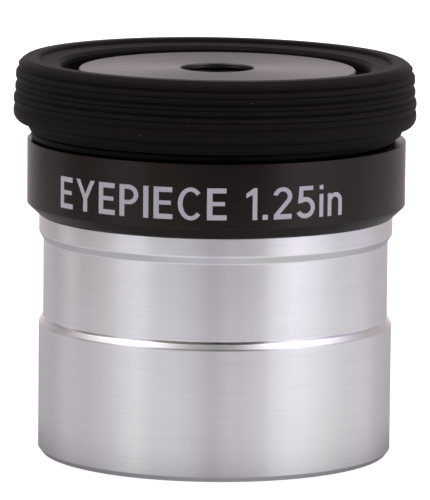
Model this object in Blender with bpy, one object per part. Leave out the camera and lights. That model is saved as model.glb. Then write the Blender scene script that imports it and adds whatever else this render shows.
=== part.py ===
"""Telescope eyepiece, 1.25 inch standard, symmetric four-element design.

A stack of rings and lenses on one optical axis:

    barrel          the nosepiece that slides into the focuser
    housing         the black body above the barrel, with its spigot in the socket
    lens_cell       the flanged tube that holds the lenses and their rings
    eye_cap         the plate with the sight hole, over the cell
    eyecup_*        the folded-down rubber eyecup, in three rings

Frame: origin at the centre of the barrel's open end, on the optical axis.
+Z runs along the axis towards the eye.  Scene units are metres.

Everything hangs from eyepiece_axis.  Two empties below it carry moving parts:
    barrel_thread_axis   housing, eye cap, eyecup base and wall
    eyecup_fold_axis     eyecup skirt, itself carried by barrel_thread_axis
"""

import math

import bmesh
import bpy
from mathutils import Vector

MM = 0.001

# ---------------------------------------------------------------- dimensions
# In millimetres.  _R is a radius, _Z a height above the barrel's open end.

RING_SEGMENTS = 48          # facets around the large rings
CELL_SEGMENTS = 32          # facets around the lens cell and what it holds
LENS_ZONES = 3              # rings of facets on each curved lens face
MERGE_DISTANCE_M = 1e-7     # joins the spun points that meet on the axis
SHARP_ANGLE = math.radians(28.0)
SEAT_GAP = 0.05             # gap left between faces that seat on each other

# Barrel: two bands with an undercut between them.
BARREL_R = 31.7 / 2
UNDERCUT_R = 15.45
BARREL_BORE_R = 13.93       # crest radius of the 28.5 x 0.6 mm filter thread
FILTER_MOUTH_R = 14.35
BARREL_END_CHAMFER_WIDTH = 0.35
BARREL_END_CHAMFER_HEIGHT = 0.45
UNDERCUT_BOTTOM_Z = 11.75
UNDERCUT_LOW_Z = 12.30
UNDERCUT_HIGH_Z = 19.30
UNDERCUT_TOP_Z = 19.95
BARREL_TOP_Z = 21.68
BARREL_TOP_CHAMFER = 0.12
SOCKET_R = 14.38            # socket for the housing's spigot
SOCKET_FLOOR_Z = 17.30
SOCKET_CHAMFER = 0.25

# Housing: the black body with its spigot below and its neck above.
SPIGOT_R = 14.22
SPIGOT_BORE_R = 12.90
SPIGOT_END_Z = 17.80
SPIGOT_CHAMFER = 0.25
HOUSING_SEAT_Z = BARREL_TOP_Z + SEAT_GAP
HOUSING_FOOT_R = 16.04
HOUSING_R = 16.94
HOUSING_CHAMFER_TOP_Z = 22.58
HOUSING_TOP_Z = 28.30
HOUSING_TOP_CHAMFER = 0.10
WEB_Z = 24.60               # underside of the solid web around the cell
CELL_BORE_R = 7.15
CELL_SHOULDER_Z = 31.20     # shoulder under the cell's flange
NECK_R = 12.20
NECK_BORE_R = 10.10
NECK_TOP_Z = 33.40
GROOVE_R = 11.50            # groove for the eyecup base's inner edge
GROOVE_TOP_Z = 29.20

# Lens cell: the flanged tube.
CELL_R = 7.00
CELL_FLANGE_R = 9.90
CELL_FLANGE_Z = CELL_SHOULDER_Z + SEAT_GAP
CELL_FLANGE_TOP_Z = 32.15
CELL_TOP_Z = 33.25
CELL_NOSE_R = 5.00
CELL_NOSE_Z = 34.12
CELL_BOTTOM_Z = 20.20
LENS_BORE_R = 4.35
CELL_THREAD_R = 5.30        # wide bore at the field end
CELL_THREAD_TOP_Z = 25.56

# Eye cap: the flat plate with the sight hole.
EYE_PLATE_Z = 34.58
EYE_PLATE_R = 12.40
EYE_PLATE_CHAMFER = 0.12
EYE_HOLE_R = 3.27
EYE_HOLE_CHAMFER = 0.10
EYE_LIP_Z = 34.26           # underside of the thin lip around the sight hole
CAP_POCKET_R = 5.20         # pocket under the lip, for the cell's nose
CAP_UNDERSIDE_Z = 33.35
CAP_RIM_Z = NECK_TOP_Z + SEAT_GAP
CAP_SPIGOT_R = 10.00
CAP_SPIGOT_BORE_R = 9.20
CAP_SPIGOT_END_Z = CELL_FLANGE_TOP_Z + SEAT_GAP

# Optics: two equal cemented doublets, crowns facing each other.
DOUBLET_FOCAL = 15.80       # focal length of one thin doublet
CROWN_INDEX, CROWN_ABBE = 1.5168, 64.17
FLINT_INDEX, FLINT_ABBE = 1.6477, 33.85
LENS_R = 4.30
FLINT_CENTRE = 1.00         # thicknesses on the axis
CROWN_CENTRE = 3.00
CEMENT = 0.02
CROWN_GAP = 0.30            # air between the two crowns, on the axis
EYE_LENS_TOP_Z = 34.16
BACK_FOCUS = 4.82           # from the field flint's flat face to the field stop

# Rings inside the cell.
SPACER_R = 4.31
SPACER_BORE_R = 3.90
RETAINER_R = 5.20
RETAINER_BORE_R = 3.70
RETAINER_NOSE_R = 4.25
RETAINER_HEIGHT = 1.00      # without the nose
RETAINER_TOP_Z = CELL_THREAD_TOP_Z - 0.06
RETAINER_BOTTOM_Z = RETAINER_TOP_Z - RETAINER_HEIGHT
SLOT_WIDTH = 1.0
SLOT_DEPTH = 0.5
SLOT_CUTTER_LENGTH = 3.0    # overruns the retainer on both sides
FIELD_STOP_R = 3.25
FIELD_STOP_FLAT_R = 4.10
FIELD_STOP_HALF_HEIGHT = 0.40
FIELD_STOP_HALF_LAND = 0.05

# Eyecup: base, wall and folded skirt.
EYECUP_BASE_BORE_R = 11.60
EYECUP_BASE_R = 16.10
EYECUP_BASE_Z = HOUSING_TOP_Z + SEAT_GAP
EYECUP_BASE_TOP_Z = 29.00
EYECUP_BASE_CHAMFER = 0.15
EYECUP_WALL_BORE_R = 13.85
EYECUP_WALL_R = 15.10
EYECUP_WALL_Z = EYECUP_BASE_TOP_Z + SEAT_GAP
EYECUP_WALL_TOP_Z = 34.15
SKIRT_BORE_R = 16.35
SKIRT_FOLD_Z = EYECUP_WALL_TOP_Z + SEAT_GAP     # underside of the fold
RIM_TOP_Z = 35.48

# Skirt outline as (radius, height): round the lower edge, up the ribbed outer
# side, then inwards over the rim.
SKIRT_LOWER_EDGE = (
    (SKIRT_BORE_R, 29.25), (16.75, 29.05), (17.35, 29.45), (17.80, 29.98),
)
SKIRT_RIBS = (
    (18.02, 30.60),
    (17.90, 31.25), (18.01, 31.80),
    (17.72, 32.38), (17.85, 32.80),
    (17.63, 33.37), (17.81, 33.88),
    (17.52, 34.56), (17.57, 34.94),
)
SKIRT_RIM = (
    (17.40, 35.30), (17.05, RIM_TOP_Z), (15.95, RIM_TOP_Z),
    (15.80, RIM_TOP_Z - 0.12), (15.70, 35.12), (14.05, 34.95),
    (EYECUP_WALL_BORE_R, 34.75),
)

# ------------------------------------------------------------ derived optics
# Thin achromat equations: crown and flint share the power so that their
# dispersions cancel, and the flint's outer face is flat.
DOUBLET_POWER = 1.0 / DOUBLET_FOCAL
ABBE_DIFFERENCE = CROWN_ABBE - FLINT_ABBE
CROWN_POWER = DOUBLET_POWER * CROWN_ABBE / ABBE_DIFFERENCE
FLINT_POWER = -DOUBLET_POWER * FLINT_ABBE / ABBE_DIFFERENCE

# Radii of curvature of the cemented face and of the crown's outer face.
CEMENT_CURVE = (FLINT_INDEX - 1.0) / -FLINT_POWER
CROWN_CURVE = 1.0 / (CROWN_POWER / (CROWN_INDEX - 1.0) - 1.0 / CEMENT_CURVE)

# Where each face crosses the axis, from the eye down.
EYE_FLINT_BOTTOM_Z = EYE_LENS_TOP_Z - FLINT_CENTRE
EYE_CROWN_TOP_Z = EYE_FLINT_BOTTOM_Z - CEMENT
EYE_CROWN_BOTTOM_Z = EYE_CROWN_TOP_Z - CROWN_CENTRE
FIELD_CROWN_TOP_Z = EYE_CROWN_BOTTOM_Z - CROWN_GAP
FIELD_CROWN_BOTTOM_Z = FIELD_CROWN_TOP_Z - CROWN_CENTRE
FIELD_FLINT_TOP_Z = FIELD_CROWN_BOTTOM_Z - CEMENT
FIELD_FLINT_BOTTOM_Z = FIELD_FLINT_TOP_Z - FLINT_CENTRE
FIELD_STOP_Z = FIELD_FLINT_BOTTOM_Z - BACK_FOCUS


# ------------------------------------------------------------------- helpers
def clear_scene():
    for obj in list(bpy.data.objects):
        bpy.data.objects.remove(obj, do_unlink=True)


def make_material(name, colour, roughness, metallic, transmission=0.0, ior=1.5):
    material = bpy.data.materials.new(name)
    material.use_nodes = True
    inputs = material.node_tree.nodes["Principled BSDF"].inputs
    inputs["Base Color"].default_value = (*colour, 1.0)
    inputs["Roughness"].default_value = roughness
    inputs["Metallic"].default_value = metallic
    inputs["Transmission Weight"].default_value = transmission
    inputs["IOR"].default_value = ior
    material.diffuse_color = (*colour, 1.0)
    return material


def add_object(name, data, parent):
    obj = bpy.data.objects.new(name, data)
    bpy.context.scene.collection.objects.link(obj)
    obj.parent = parent
    return obj


def add_axis(name, parent=None):
    empty = add_object(name, None, parent)
    empty.empty_display_type = 'SINGLE_ARROW'
    empty.empty_display_size = 0.02
    return empty


def lathe(name, outline, datum, segments, material, parent):
    """Closed ring or disc: spin a closed (radius, height) outline about +Z.

    Heights are in the eyepiece's frame.  The object's origin is on the axis at
    the datum height.
    """
    bm = bmesh.new()
    verts = [bm.verts.new(Vector((r * MM, 0.0, (z - datum) * MM))) for r, z in outline]
    edges = []
    for i, vert in enumerate(verts):
        after = (i + 1) % len(verts)
        # An edge along the axis would sweep out no surface.
        if outline[i][0] != 0.0 or outline[after][0] != 0.0:
            edges.append(bm.edges.new((vert, verts[after])))
    bmesh.ops.spin(bm, geom=verts + edges, cent=(0, 0, 0), axis=(0, 0, 1),
                   angle=2.0 * math.pi, steps=segments, use_merge=True)
    bmesh.ops.remove_doubles(bm, verts=bm.verts[:], dist=MERGE_DISTANCE_M)
    bmesh.ops.recalc_face_normals(bm, faces=bm.faces[:])
    mesh = bpy.data.meshes.new(name)
    bm.to_mesh(mesh)
    bm.free()
    mesh.materials.append(material)
    mesh.shade_smooth()
    mesh.set_sharp_from_angle(angle=SHARP_ANGLE)
    obj = add_object(name, mesh, parent)
    obj.location = (0.0, 0.0, datum * MM)
    return obj


def sag(curve, r):
    """Depth of a spherical face at radius r, for a radius of curvature."""
    return curve - math.sqrt(curve ** 2 - r ** 2)


def flat_face(z):
    return [(0.0, z), (LENS_R, z)]


def dome_face(curve, vertex_z, direction):
    """Outline of a spherical face from the axis out to the rim.

    The rim lies above the vertex for direction 1 and below it for -1.
    """
    radii = [LENS_R * i / LENS_ZONES for i in range(LENS_ZONES + 1)]
    return [(r, vertex_z + direction * sag(curve, r)) for r in radii]


def add_block_cutter(name, size, location, parent):
    mesh = bpy.data.meshes.new(name)
    bm = bmesh.new()
    bmesh.ops.create_cube(bm, size=1.0)
    bmesh.ops.scale(bm, vec=Vector(size) * MM, verts=bm.verts[:])
    bm.to_mesh(mesh)
    bm.free()
    cutter = add_object(name, mesh, parent)
    cutter.location = Vector(location) * MM
    cutter.hide_render = True
    cutter.display_type = 'WIRE'
    return cutter


def cut(target, cutter):
    modifier = target.modifiers.new("cut_" + cutter.name, 'BOOLEAN')
    modifier.operation = 'DIFFERENCE'
    modifier.solver = 'EXACT'
    modifier.object = cutter


# ----------------------------------------------------------------- the parts
def build_barrel(material, parent):
    """Up the outside from the open end, then down the socket and bore."""
    lathe("barrel", [
        (FILTER_MOUTH_R, 0.0),
        (BARREL_R - BARREL_END_CHAMFER_WIDTH, 0.0),
        (BARREL_R, BARREL_END_CHAMFER_HEIGHT),
        (BARREL_R, UNDERCUT_BOTTOM_Z),
        (UNDERCUT_R, UNDERCUT_LOW_Z),
        (UNDERCUT_R, UNDERCUT_HIGH_Z),
        (BARREL_R, UNDERCUT_TOP_Z),
        (BARREL_R, BARREL_TOP_Z - BARREL_TOP_CHAMFER),
        (BARREL_R - BARREL_TOP_CHAMFER, BARREL_TOP_Z),
        (SOCKET_R + SOCKET_CHAMFER, BARREL_TOP_Z),
        (SOCKET_R, BARREL_TOP_Z - SOCKET_CHAMFER),
        (SOCKET_R, SOCKET_FLOOR_Z),
        (BARREL_BORE_R, SOCKET_FLOOR_Z),
        (BARREL_BORE_R, FILTER_MOUTH_R - BARREL_BORE_R),    # 45 degree mouth
    ], 0.0, RING_SEGMENTS, material, parent)


def build_housing(material, parent):
    """Up the outside from the spigot's end, over the neck, down the bores."""
    lathe("housing", [
        (SPIGOT_BORE_R, SPIGOT_END_Z),
        (SPIGOT_R - SPIGOT_CHAMFER, SPIGOT_END_Z),
        (SPIGOT_R, SPIGOT_END_Z + SPIGOT_CHAMFER),
        (SPIGOT_R, HOUSING_SEAT_Z),
        (HOUSING_FOOT_R, HOUSING_SEAT_Z),
        (HOUSING_R, HOUSING_CHAMFER_TOP_Z),
        (HOUSING_R, HOUSING_TOP_Z - HOUSING_TOP_CHAMFER),
        (HOUSING_R - HOUSING_TOP_CHAMFER, HOUSING_TOP_Z),
        (GROOVE_R, HOUSING_TOP_Z),
        (GROOVE_R, GROOVE_TOP_Z),
        (NECK_R, GROOVE_TOP_Z),
        (NECK_R, NECK_TOP_Z),
        (NECK_BORE_R, NECK_TOP_Z),
        (NECK_BORE_R, CELL_SHOULDER_Z),
        (CELL_BORE_R, CELL_SHOULDER_Z),
        (CELL_BORE_R, WEB_Z),
        (SPIGOT_BORE_R, WEB_Z),
    ], HOUSING_SEAT_Z, RING_SEGMENTS, material, parent)


def build_eye_cap(material, parent):
    """Plate with a thin lip around the sight hole and a spigot below."""
    lathe("eye_cap", [
        (EYE_HOLE_R, EYE_LIP_Z),
        (CAP_POCKET_R, EYE_LIP_Z),
        (CAP_POCKET_R, CAP_UNDERSIDE_Z),
        (CAP_SPIGOT_BORE_R, CAP_UNDERSIDE_Z),
        (CAP_SPIGOT_BORE_R, CAP_SPIGOT_END_Z),
        (CAP_SPIGOT_R, CAP_SPIGOT_END_Z),
        (CAP_SPIGOT_R, CAP_RIM_Z),
        (EYE_PLATE_R, CAP_RIM_Z),
        (EYE_PLATE_R, EYE_PLATE_Z - EYE_PLATE_CHAMFER),
        (EYE_PLATE_R - EYE_PLATE_CHAMFER, EYE_PLATE_Z),
        (EYE_HOLE_R + EYE_HOLE_CHAMFER, EYE_PLATE_Z),
        (EYE_HOLE_R, EYE_PLATE_Z - EYE_HOLE_CHAMFER),
    ], EYE_PLATE_Z, RING_SEGMENTS, material, parent)


def build_lens_cell(material, parent):
    """Flanged tube with its nose at the eye end and wide bore at the field end."""
    lathe("lens_cell", [
        (CELL_THREAD_R, CELL_BOTTOM_Z),
        (CELL_R, CELL_BOTTOM_Z),
        (CELL_R, CELL_FLANGE_Z),
        (CELL_FLANGE_R, CELL_FLANGE_Z),
        (CELL_FLANGE_R, CELL_FLANGE_TOP_Z),
        (CELL_R, CELL_FLANGE_TOP_Z),
        (CELL_R, CELL_TOP_Z),
        (CELL_NOSE_R, CELL_TOP_Z),
        (CELL_NOSE_R, CELL_NOSE_Z),
        (LENS_BORE_R, CELL_NOSE_Z),
        (LENS_BORE_R, CELL_THREAD_TOP_Z),
        (CELL_THREAD_R, CELL_THREAD_TOP_Z),
    ], CELL_FLANGE_Z, CELL_SEGMENTS, material, parent)


def build_lenses(crown_glass, flint_glass, parent):
    """Eye doublet with its flint on top, and the same pair turned over below."""
    # name, upper face, lower face, datum, glass
    lenses = (
        ("eye_flint", flat_face(EYE_LENS_TOP_Z),
         dome_face(CEMENT_CURVE, EYE_FLINT_BOTTOM_Z, -1), EYE_LENS_TOP_Z, flint_glass),
        ("eye_crown", dome_face(CEMENT_CURVE, EYE_CROWN_TOP_Z, -1),
         dome_face(CROWN_CURVE, EYE_CROWN_BOTTOM_Z, 1), EYE_CROWN_TOP_Z, crown_glass),
        ("field_crown", dome_face(CROWN_CURVE, FIELD_CROWN_TOP_Z, -1),
         dome_face(CEMENT_CURVE, FIELD_CROWN_BOTTOM_Z, 1), FIELD_CROWN_TOP_Z, crown_glass),
        ("field_flint", dome_face(CEMENT_CURVE, FIELD_FLINT_TOP_Z, 1),
         flat_face(FIELD_FLINT_BOTTOM_Z), FIELD_FLINT_BOTTOM_Z, flint_glass),
    )
    for name, upper, lower, datum, glass in lenses:
        lathe(name, upper + lower[::-1], datum, CELL_SEGMENTS, glass, parent)


def build_spacer(material, parent):
    """Ring between the crowns, its inner edges just clear of their faces."""
    inset = sag(CROWN_CURVE, SPACER_BORE_R)
    top = EYE_CROWN_BOTTOM_Z + inset - SEAT_GAP
    bottom = FIELD_CROWN_TOP_Z - inset + SEAT_GAP
    lathe("lens_spacer", [
        (SPACER_BORE_R, bottom),
        (SPACER_R, bottom),
        (SPACER_R, top),
        (SPACER_BORE_R, top),
    ], bottom, CELL_SEGMENTS, material, parent)


def build_retaining_ring(material, parent):
    """Ring below the field doublet: nose on top, two spanner slots underneath."""
    nose_z = FIELD_FLINT_BOTTOM_Z - SEAT_GAP
    ring = lathe("retaining_ring", [
        (RETAINER_BORE_R, RETAINER_BOTTOM_Z),
        (RETAINER_R, RETAINER_BOTTOM_Z),
        (RETAINER_R, RETAINER_TOP_Z),
        (RETAINER_NOSE_R, RETAINER_TOP_Z),
        (RETAINER_NOSE_R, nose_z),
        (RETAINER_BORE_R, nose_z),
    ], RETAINER_BOTTOM_Z, CELL_SEGMENTS, material, parent)
    # The cutters are centred on the lower face, so half their height cuts.
    size = (SLOT_CUTTER_LENGTH, SLOT_WIDTH, 2.0 * SLOT_DEPTH)
    for side, sign in (("left", -1.0), ("right", 1.0)):
        place = (sign * (RETAINER_BORE_R + RETAINER_R) / 2.0, 0.0, RETAINER_BOTTOM_Z)
        cut(ring, add_block_cutter("spanner_slot_" + side, size, place, parent))


def build_field_stop(material, parent):
    """Thin-edged ring, one back focus below the field flint."""
    lathe("field_stop", [
        (FIELD_STOP_R, FIELD_STOP_Z - FIELD_STOP_HALF_LAND),
        (FIELD_STOP_FLAT_R, FIELD_STOP_Z - FIELD_STOP_HALF_HEIGHT),
        (RETAINER_R, FIELD_STOP_Z - FIELD_STOP_HALF_HEIGHT),
        (RETAINER_R, FIELD_STOP_Z + FIELD_STOP_HALF_HEIGHT),
        (FIELD_STOP_FLAT_R, FIELD_STOP_Z + FIELD_STOP_HALF_HEIGHT),
        (FIELD_STOP_R, FIELD_STOP_Z + FIELD_STOP_HALF_LAND),
    ], FIELD_STOP_Z, CELL_SEGMENTS, material, parent)


def build_eyecup_base(material, parent):
    """Flat ring on the housing's top, its inner edge in the neck groove."""
    lathe("eyecup_base", [
        (EYECUP_BASE_BORE_R, EYECUP_BASE_Z),
        (EYECUP_BASE_R - EYECUP_BASE_CHAMFER, EYECUP_BASE_Z),
        (EYECUP_BASE_R, EYECUP_BASE_Z + EYECUP_BASE_CHAMFER),
        (EYECUP_BASE_R, EYECUP_BASE_TOP_Z - EYECUP_BASE_CHAMFER),
        (EYECUP_BASE_R - EYECUP_BASE_CHAMFER, EYECUP_BASE_TOP_Z),
        (EYECUP_BASE_BORE_R, EYECUP_BASE_TOP_Z),
    ], EYECUP_BASE_Z, RING_SEGMENTS, material, parent)


def build_eyecup_wall(material, parent):
    """Plain sleeve between the base and the fold."""
    lathe("eyecup_wall", [
        (EYECUP_WALL_BORE_R, EYECUP_WALL_Z),
        (EYECUP_WALL_R, EYECUP_WALL_Z),
        (EYECUP_WALL_R, EYECUP_WALL_TOP_Z),
        (EYECUP_WALL_BORE_R, EYECUP_WALL_TOP_Z),
    ], EYECUP_WALL_Z, RING_SEGMENTS, material, parent)


def build_eyecup_skirt(material, parent):
    """Fold over the top of the wall, and the ribbed outer side."""
    fold = ((EYECUP_WALL_BORE_R, SKIRT_FOLD_Z), (SKIRT_BORE_R, SKIRT_FOLD_Z))
    lathe("eyecup_skirt", fold + SKIRT_LOWER_EDGE + SKIRT_RIBS + SKIRT_RIM,
          SKIRT_FOLD_Z, RING_SEGMENTS, material, parent)


# ------------------------------------------------------------------ assembly
clear_scene()

turned = make_material("turned_aluminium", colour=(0.62, 0.61, 0.63),
                       roughness=0.32, metallic=1.0)
anodised = make_material("black_anodised", colour=(0.018, 0.018, 0.020),
                         roughness=0.42, metallic=0.6)
plate_black = make_material("eye_plate_black", colour=(0.085, 0.083, 0.085),
                            roughness=0.45, metallic=0.8)
cell_black = make_material("cell_black", colour=(0.020, 0.020, 0.022),
                           roughness=0.55, metallic=0.5)
brass = make_material("spacer_brass", colour=(0.55, 0.42, 0.20),
                      roughness=0.40, metallic=1.0)
rubber = make_material("eyecup_rubber", colour=(0.022, 0.020, 0.018),
                       roughness=0.78, metallic=0.0)
crown = make_material("crown_glass", colour=(0.96, 0.98, 0.97), roughness=0.02,
                      metallic=0.0, transmission=1.0, ior=CROWN_INDEX)
flint = make_material("flint_glass", colour=(0.97, 0.97, 0.94), roughness=0.02,
                      metallic=0.0, transmission=1.0, ior=FLINT_INDEX)

eyepiece = add_axis("eyepiece_axis")
barrel_thread = add_axis("barrel_thread_axis", eyepiece)
eyecup_fold = add_axis("eyecup_fold_axis", barrel_thread)

build_barrel(turned, eyepiece)
build_housing(anodised, barrel_thread)
build_eye_cap(plate_black, barrel_thread)
build_lens_cell(cell_black, eyepiece)
build_lenses(crown, flint, eyepiece)
build_spacer(brass, eyepiece)
build_retaining_ring(cell_black, eyepiece)
build_field_stop(cell_black, eyepiece)
build_eyecup_base(rubber, barrel_thread)
build_eyecup_wall(rubber, barrel_thread)
build_eyecup_skirt(rubber, eyecup_fold)
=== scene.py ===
"""Looks of a telescope eyepiece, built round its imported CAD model.

The optical axis is Z: the barrel stands on the table at z = 0 and the eyecup
is at the top.  The camera looks along +Y.  Every piece is a ring or a disc
turned from an outline of (radius, z) points.  Sizes are in millimetres until
a mesh is made; the boxes of the CAD nodes give the main ones.
"""
import math
from functools import cached_property

import bmesh
import bpy
import numpy as np
from mathutils import Matrix, Vector


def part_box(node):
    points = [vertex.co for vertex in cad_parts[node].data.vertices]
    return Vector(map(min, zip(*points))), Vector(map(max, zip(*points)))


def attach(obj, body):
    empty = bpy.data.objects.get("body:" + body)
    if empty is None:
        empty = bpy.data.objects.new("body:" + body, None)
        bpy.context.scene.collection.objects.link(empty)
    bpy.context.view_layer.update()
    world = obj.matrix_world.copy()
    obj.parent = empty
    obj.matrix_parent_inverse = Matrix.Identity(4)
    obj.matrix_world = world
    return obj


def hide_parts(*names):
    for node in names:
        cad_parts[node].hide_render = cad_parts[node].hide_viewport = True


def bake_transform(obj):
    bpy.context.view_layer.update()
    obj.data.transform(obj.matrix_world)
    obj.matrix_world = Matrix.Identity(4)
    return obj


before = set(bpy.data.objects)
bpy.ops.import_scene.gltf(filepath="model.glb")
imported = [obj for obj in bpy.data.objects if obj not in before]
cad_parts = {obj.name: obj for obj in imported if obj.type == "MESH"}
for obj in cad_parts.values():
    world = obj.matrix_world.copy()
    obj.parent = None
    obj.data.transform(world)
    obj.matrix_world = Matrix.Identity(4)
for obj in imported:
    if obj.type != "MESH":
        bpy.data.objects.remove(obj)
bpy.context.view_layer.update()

MM = 0.001
SEGMENTS = 256                      # facets round a large ring
CELL_SEGMENTS = 128                 # facets round the lens cell and what it holds
SUPPORT = 0.035                     # distance of a support point from its fillet
FILLET_STEP = math.radians(14.0)    # largest turn between two points of a fillet
SHARP = 32.0                        # edges bent more than this, in degrees, stay sharp
THREAD_STEPS = 12                   # outline rows in one thread pitch


# --------------------------------------------------------------- outline tools
def size_of(node):
    """Outer radius, lowest and highest z of a CAD node."""
    low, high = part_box(node)
    return high.x / MM, low.z / MM, high.z / MM


def fillet_points(here, before, after, fillet):
    """Points that replace one corner; before and after are its neighbours."""
    to_before, to_after = before - here, after - here
    length_before, length_after = np.linalg.norm(to_before), np.linalg.norm(to_after)
    if fillet <= 0.0 or length_before < 1e-9 or length_after < 1e-9:
        return [here]
    u, v = to_before / length_before, to_after / length_after
    angle = math.acos(max(-1.0, min(1.0, float(u @ v))))
    if angle > math.pi - 1e-3:
        return [here]
    cut = min(fillet / math.tan(angle / 2), 0.45 * length_before, 0.45 * length_after)
    radius = cut * math.tan(angle / 2)
    start, end = here + u * cut, here + v * cut
    bisector = (u + v) / np.linalg.norm(u + v)
    centre = here + bisector * (radius / math.sin(angle / 2))
    first = math.atan2(*(start - centre)[::-1])
    last = math.atan2(*(end - centre)[::-1])
    sweep = (last - first + math.pi) % (2 * math.pi) - math.pi
    steps = max(2, math.ceil(abs(sweep) / FILLET_STEP))
    turns = [first + sweep * k / steps for k in range(steps + 1)]
    return [centre + radius * np.array((math.cos(turn), math.sin(turn))) for turn in turns]


def rounded(points):
    """Closed outline of (r, z) or (r, z, fillet) with its corners rounded.

    Support points beside each fillet keep the shading of long faces flat.
    """
    places = [np.array(p[:2], float) for p in points]
    count = len(points)
    corners = [fillet_points(places[i], places[i - 1], places[(i + 1) % count],
                             p[2] if len(p) > 2 else 0.0)
               for i, p in enumerate(points)]
    out = []
    for i, corner in enumerate(corners):
        following = corners[(i + 1) % count]
        out += corner
        start, end = corner[-1], following[0]
        length = np.linalg.norm(end - start)
        if length > 5 * SUPPORT:
            direction = (end - start) / length
            if len(corner) > 1:
                out.append(start + direction * SUPPORT)
            if len(following) > 1:
                out.append(end - direction * SUPPORT)
    return [(float(r), float(z)) for r, z in out]


def finish_mesh(bm, name, materials, sharp=SHARP):
    """Turn a bmesh into a smooth shaded object in the scene."""
    bmesh.ops.recalc_face_normals(bm, faces=bm.faces[:])
    mesh = bpy.data.meshes.new(name)
    bm.to_mesh(mesh)
    bm.free()
    for material in materials:
        mesh.materials.append(material)
    mesh.shade_smooth()
    mesh.set_sharp_from_angle(angle=math.radians(sharp))
    obj = bpy.data.objects.new(name, mesh)
    bpy.context.scene.collection.objects.link(obj)
    return obj


def ring_mesh(name, outline, materials, segments=SEGMENTS, cut=None, sharp=SHARP, slot_of=None):
    """Spin a closed outline about the axis.

    Points at r = 0 become poles.  cut(r, z, turn) may give a point another
    radius; slot_of(r, z) may give a face its material slot.
    """
    bm = bmesh.new()
    rows = []
    for r, z in outline:
        if r < 1e-9:
            rows.append([bm.verts.new((0.0, 0.0, z * MM))])
            continue
        row = []
        for k in range(segments):
            angle = 2.0 * math.pi * k / segments
            radius = cut(r, z, angle / (2.0 * math.pi)) if cut else r
            row.append(bm.verts.new((radius * MM * math.cos(angle),
                                     radius * MM * math.sin(angle), z * MM)))
        rows.append(row)
    for i, a in enumerate(rows):
        following = (i + 1) % len(rows)
        b = rows[following]
        if len(a) == 1 and len(b) == 1:
            continue
        (r0, z0), (r1, z1) = outline[i], outline[following]
        slot = slot_of((r0 + r1) / 2, (z0 + z1) / 2) if slot_of else 0
        for k in range(segments):
            n = (k + 1) % segments
            if len(a) == 1:
                face = bm.faces.new((a[0], b[n], b[k]))
            elif len(b) == 1:
                face = bm.faces.new((a[k], a[n], b[0]))
            else:
                face = bm.faces.new((a[k], a[n], b[n], b[k]))
            face.material_index = slot
    return finish_mesh(bm, name, materials, sharp)


def place(obj, body, node=None):
    """Tell the frame which body carries a piece and which CAD node it replaces."""
    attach(obj, body)
    if node:
        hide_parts(node)


# --------------------------------------------------------------------- threads
def thread_wave(phase):
    """Rounded trapezoid, 0 at the crest and 1 at the root."""
    flat, flank = 0.14, 0.70
    x = min(1.0, max(0.0, (abs(phase % 1.0 - 0.5) * 2.0 - flat) / flank))
    return 1.0 - x * x * (3.0 - 2.0 * x)


def window(z, low, high, soft):
    """1 between low and high, falling smoothly to 0 over soft outside them."""
    d = min(1.0, max(low - z, z - high, 0.0) / soft)
    return 1.0 - d * d * (3.0 - 2.0 * d)


def with_rows(outline, radius, z_from, z_to, pitch):
    """Insert thread rows into the straight wall at a radius, from z_from up to z_to."""
    steps = max(2, int(round((z_to - z_from) / pitch * THREAD_STEPS)))
    rows = [z_from + (z_to - z_from) * i / steps for i in range(steps + 1)]
    out = []
    for i, (r0, z0) in enumerate(outline):
        r1, z1 = outline[(i + 1) % len(outline)]
        out.append((r0, z0))
        if abs(r0 - radius) < 1e-6 and abs(r1 - radius) < 1e-6:
            low, high = min(z0, z1), max(z0, z1)
            if low <= z_from + 1e-6 and high >= z_to - 1e-6:
                ordered = rows[::-1] if z1 < z0 else rows
                out += [(radius, z) for z in ordered if low + 1e-4 < z < high - 1e-4]
    return out


# ------------------------------------------------------------------ node trees
def is_socket(value):
    return hasattr(value, "is_output")


def rgba(value):
    """A socket as it is, or an RGB colour with full alpha."""
    return value if is_socket(value) else (*value, 1.0)


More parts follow.
